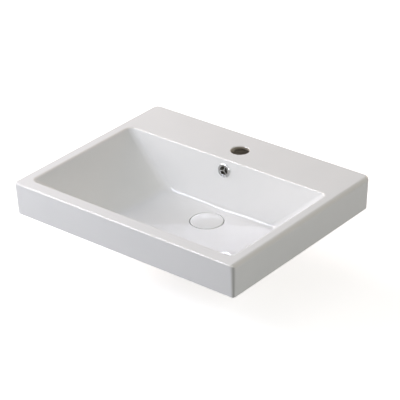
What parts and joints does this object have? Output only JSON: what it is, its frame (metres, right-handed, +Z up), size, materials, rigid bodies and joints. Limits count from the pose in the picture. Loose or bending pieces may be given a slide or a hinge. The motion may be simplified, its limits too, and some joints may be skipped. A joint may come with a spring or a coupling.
{
  "type": "inset basin",
  "caption": "Rectangular inset wash basin with a straight apron, a tap hole, an overflow with its cover and a push-button waste with a domed cap.",
  "frame": {"origin": "middle of the apron's foot, on the plane that rests on the worktop", "axes": "+Z up, +X across the basin, -Y towards the user; the tap deck is at +Y"},
  "size_m": [0.4996, 0.3996, 0.192],
  "materials": {
    "glazed_china": "gloss",
    "chrome": "polished",
    "brass": "satin",
    "black_rubber": "matte",
    "grey_rubber": "matte",
    "white_plastic": "satin",
    "acetal": "satin",
    "spring_steel": "polished"
  },
  "bodies": {
    "root": {"basin_body": "glazed_china", "overflow_cover": "chrome", "waste_body": "chrome", "flange_seal": "grey_rubber", "cone_washer": "black_rubber", "slip_washer": "white_plastic", "back_nut": "brass", "cartridge_housing": "brass", "cartridge_base": "brass", "return_spring": "spring_steel"},
    "plug": {"china_cap": "glazed_china", "cap_carrier": "chrome", "plug_ring": "black_rubber", "plunger": "brass"},
    "rotor": {"click_rotor": "acetal"}
  },
  "joints": [
    {"name": "plug_lift", "type": "slide", "parent": "root", "child": "plug", "axis": [0, 0, 1], "range_m": [-0.003, 0.009], "stiffness_N_per_m": 300, "springref_m": 0.0029, "deforming": ["return_spring"]},
    {"name": "rotor_turn", "type": "hinge", "parent": "plug", "child": "rotor", "pos_m": [0, 0.039, -0.0728], "axis": [0, 0, 1], "continuous": true}
  ]
}
